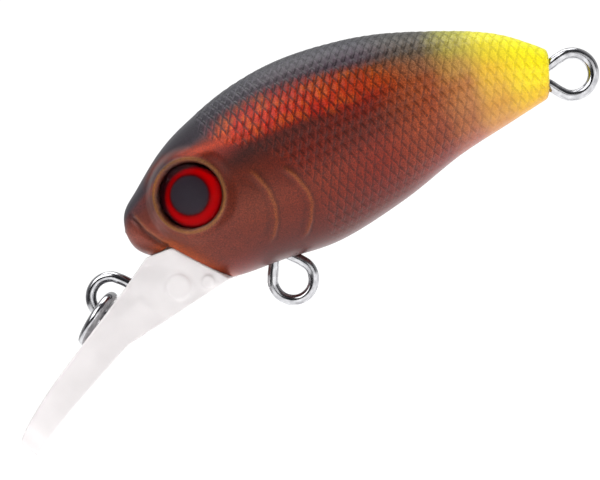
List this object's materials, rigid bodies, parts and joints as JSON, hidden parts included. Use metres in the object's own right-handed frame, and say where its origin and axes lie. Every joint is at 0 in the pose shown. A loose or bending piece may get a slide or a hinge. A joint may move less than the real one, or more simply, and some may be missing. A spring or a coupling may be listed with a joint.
{
  "type": "crankbait fishing lure",
  "caption": "Small deep-diving crankbait: hollow scaled body, clear diving lip, red eyes, wire line tie with a loose ring and wire hook hangers.",
  "frame": {"origin": "centre of the line tie's round eye, where the fishing line pulls", "axes": "+X from the nose to the tail along the body, +Z towards the back, the lure's left side faces -Y"},
  "size_m": [0.0546, 0.0122, 0.0258],
  "materials": {
    "painted_shell": "satin airbrushed paint: dark back, red-orange flank, copper belly, fluorescent yellow tail",
    "clear_lip": "clear moulding with a soft frosted look",
    "steel_wire": "bright drawn stainless",
    "eye_foil": "printed red foil with a dark pupil",
    "eye_lens": "clear glossy dome",
    "brass_weight": "turned",
    "steel_ball": "ground bearing ball"
  },
  "bodies": {
    "body": {"left_body_shell": "painted_shell", "right_body_shell": "painted_shell", "diving_lip": "clear_lip", "line_tie": "steel_wire", "belly_hanger": "steel_wire", "tail_hanger": "steel_wire", "left_eye_foil": "eye_foil", "right_eye_foil": "eye_foil", "left_eye_lens": "eye_lens", "right_eye_lens": "eye_lens", "belly_weight": "brass_weight"},
    "ring": {"line_tie_ring": "steel_wire"},
    "front_ball": {"front_rattle_ball": "steel_ball"},
    "rear_ball": {"rear_rattle_ball": "steel_ball"}
  },
  "joints": [
    {"name": "ring_swing", "type": "hinge", "parent": "body", "child": "ring", "pos_m": [0, 0, 0], "axis": [0, 1, 0], "range_deg": [0, 150]},
    {"name": "front_ball_roll", "type": "slide", "parent": "body", "child": "front_ball", "axis": [1, 0, 0], "range_m": [-0.0016, 0.0016]},
    {"name": "rear_ball_roll", "type": "slide", "parent": "body", "child": "rear_ball", "axis": [1, 0, 0], "range_m": [-0.0016, 0.0016]}
  ]
}
